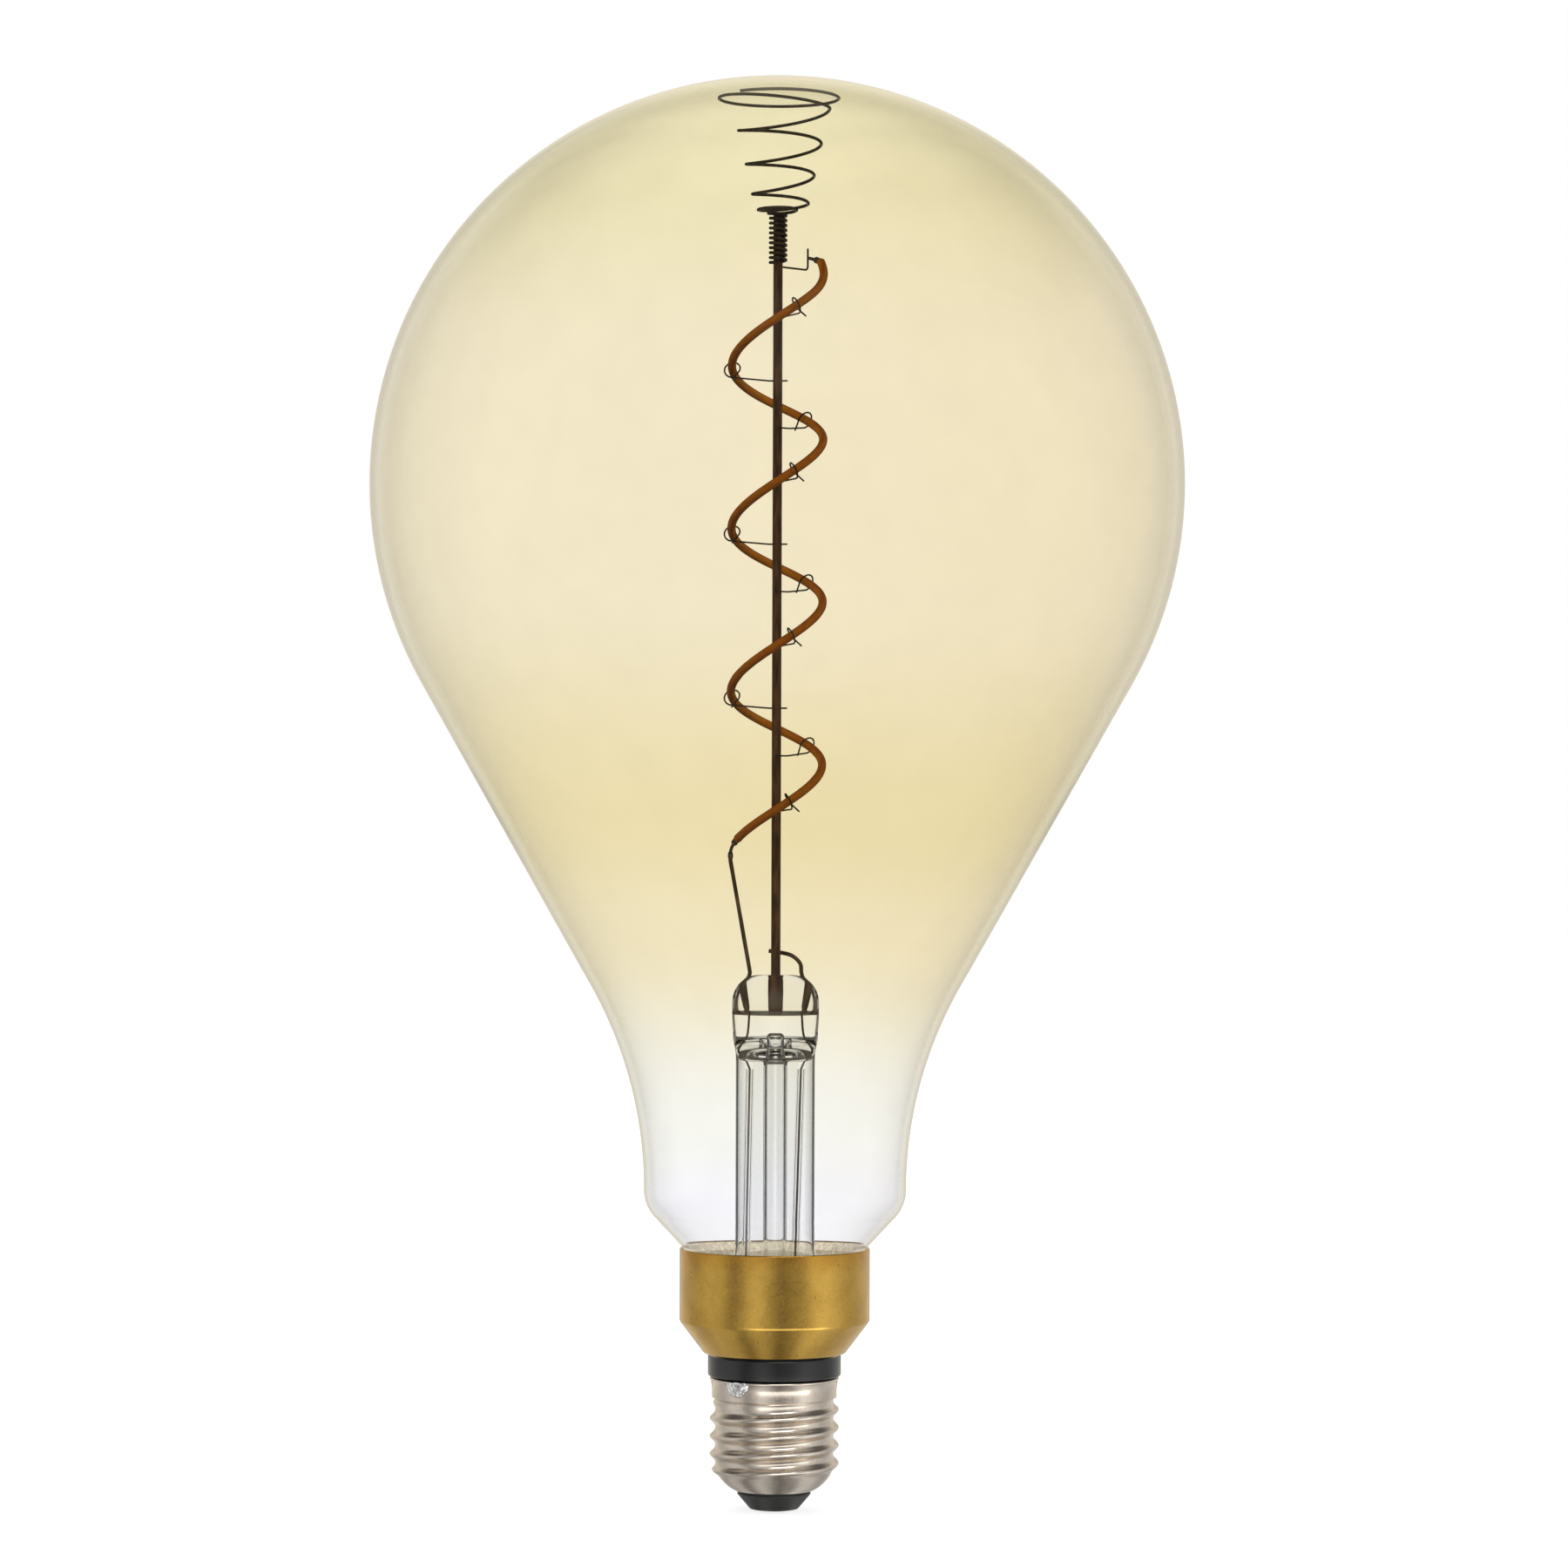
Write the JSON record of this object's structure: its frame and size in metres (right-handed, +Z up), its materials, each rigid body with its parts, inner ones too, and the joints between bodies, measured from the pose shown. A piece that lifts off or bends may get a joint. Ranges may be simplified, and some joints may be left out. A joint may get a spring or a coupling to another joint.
{
  "type": "smart light bulb",
  "caption": "Large pear-shaped amber lamp on a screw cap, with a spiral LED filament on a central mast, a brass collar and a radio driver hidden in the cap.",
  "frame": {"origin": "middle of the flat underside of the centre contact at the end of the screw cap", "axes": "+Z up the lamp's axis from the screw cap to the top of the globe; -Y is the pictured front"},
  "size_m": [0.165, 0.165, 0.29],
  "materials": {
    "amber_glass": "clear blown glass with a pale amber coat that fades out at the neck",
    "clear_glass": "clear drawn glass",
    "collar_brass": "satin brass, slightly toned",
    "shell_nickel": "satin nickel-plated pressed sheet",
    "contact_brass": "plain brass",
    "solder_tin": "bright solder",
    "insulator_black": "matte dark grey moulding",
    "housing_black": "semi-gloss black moulding",
    "cap_cement": "beige basing cement",
    "oxide_dark_wire": "dark oxidised steel wire",
    "filament_silicone": "orange-brown phosphor silicone",
    "terminal_tin": "tinned crimp",
    "sleeve_pale": "pale insulating sleeve",
    "board_green": "green circuit board",
    "chip_black": "black moulded package",
    "radio_blue": "blue circuit board",
    "shield_steel": "tinned steel can",
    "capacitor_sleeve": "black shrink sleeve",
    "inductor_ferrite": "grey ferrite and varnished wire",
    "resistor_resin": "green resin coat",
    "live_red": "red insulated wire",
    "neutral_white": "white insulated wire"
  },
  "bodies": {
    "root": {"glass_envelope": "amber_glass", "glass_stem": "clear_glass", "exhaust_tube": "clear_glass", "mast_rod": "oxide_dark_wire", "support_spring": "oxide_dark_wire", "top_jumper_wire": "oxide_dark_wire", "lead_in_left": "oxide_dark_wire", "lead_in_right": "oxide_dark_wire", "led_filament": "filament_silicone", "filament_terminal_top": "terminal_tin", "filament_terminal_bottom": "terminal_tin", "lead_sleeve_left": "sleeve_pale", "lead_sleeve_right": "sleeve_pale", "brass_collar": "collar_brass", "bulb_cement": "cap_cement", "driver_housing": "housing_black", "screw_shell": "shell_nickel", "shell_solder": "solder_tin", "base_insulator": "insulator_black", "centre_contact": "contact_brass", "driver_board": "board_green", "radio_module": "radio_blue", "radio_shield": "shield_steel", "bridge_rectifier": "chip_black", "driver_chip": "chip_black", "smoothing_capacitor": "capacitor_sleeve", "driver_inductor": "inductor_ferrite", "fusible_resistor": "resistor_resin", "live_wire": "live_red", "neutral_wire": "neutral_white", "filament_hook_01": "oxide_dark_wire", "filament_hook_02": "oxide_dark_wire", "filament_hook_03": "oxide_dark_wire", "filament_hook_04": "oxide_dark_wire", "filament_hook_05": "oxide_dark_wire", "filament_hook_06": "oxide_dark_wire", "filament_hook_07": "oxide_dark_wire", "filament_hook_08": "oxide_dark_wire", "filament_hook_09": "oxide_dark_wire", "filament_hook_10": "oxide_dark_wire"}
  },
  "joints": []
}
